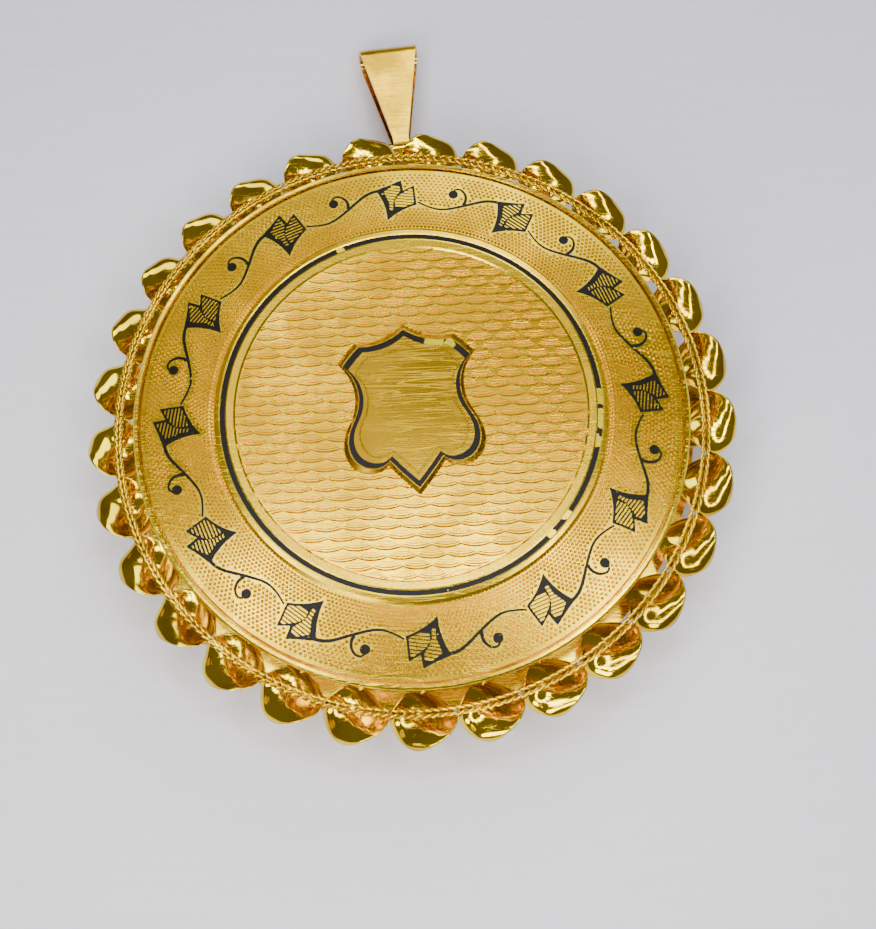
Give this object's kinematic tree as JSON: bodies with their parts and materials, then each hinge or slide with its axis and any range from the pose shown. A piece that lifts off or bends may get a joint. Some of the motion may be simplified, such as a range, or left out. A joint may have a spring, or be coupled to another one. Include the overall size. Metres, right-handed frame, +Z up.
{
  "type": "locket",
  "caption": "Round hinged locket with a twisted ribbon border, an engraved and black-enamelled cover with a shield, glazed picture frames inside and a tapered swinging bail.",
  "frame": {"origin": "centre of the flat back", "axes": "+Z up through the engraved face, +Y towards the bail, hinge at -X"},
  "size_m": [0.0318, 0.0393, 0.0059],
  "materials": {
    "polished_gold": "polished yellow gold with fine wear",
    "bezel_gold": "polished yellow gold bezel",
    "engraved_gold": "yellow gold, stippled and engine-turned",
    "shield_gold": "yellow gold, polished flat with fine scratches",
    "border_gold": "bright polished yellow gold",
    "wire_gold": "bright twisted yellow gold wire",
    "bail_gold": "polished yellow gold, warmer",
    "black_enamel": "black enamel, glossy, worn in places",
    "card": "plain cream card",
    "crystal": "clear flat glass"
  },
  "bodies": {
    "back_half": {"back_shell": "polished_gold", "snap_lip": "polished_gold", "back_card": "card", "back_glass": "crystal", "back_bezel": "bezel_gold", "hinge_knuckles_back": "polished_gold", "hinge_pin": "polished_gold", "bail_staple": "polished_gold"},
    "front_half": {"front_band": "polished_gold", "front_cover": "engraved_gold", "enamel_ring": "black_enamel", "shield_plate": "shield_gold", "shield_enamel": "black_enamel", "leaf_enamel": "black_enamel", "vine_enamel": "black_enamel", "front_card": "card", "front_glass": "crystal", "front_bezel": "bezel_gold", "hinge_knuckle_front": "polished_gold", "twisted_border": "border_gold", "rope_outer": "wire_gold", "rope_inner": "wire_gold", "border_solder": "border_gold", "nail_tab": "polished_gold", "border_shelf": "polished_gold"},
    "bail": {"bail": "bail_gold"}
  },
  "joints": [
    {"name": "case_hinge", "type": "hinge", "parent": "back_half", "child": "front_half", "pos_m": [-0.0136, 0, 0.0026], "axis": [0, -1, 0], "range_deg": [0, 105]},
    {"name": "bail_swing", "type": "hinge", "parent": "back_half", "child": "bail", "pos_m": [0, 0.0163, 0.0019], "axis": [1, 0, 0], "range_deg": [0, 95]}
  ]
}
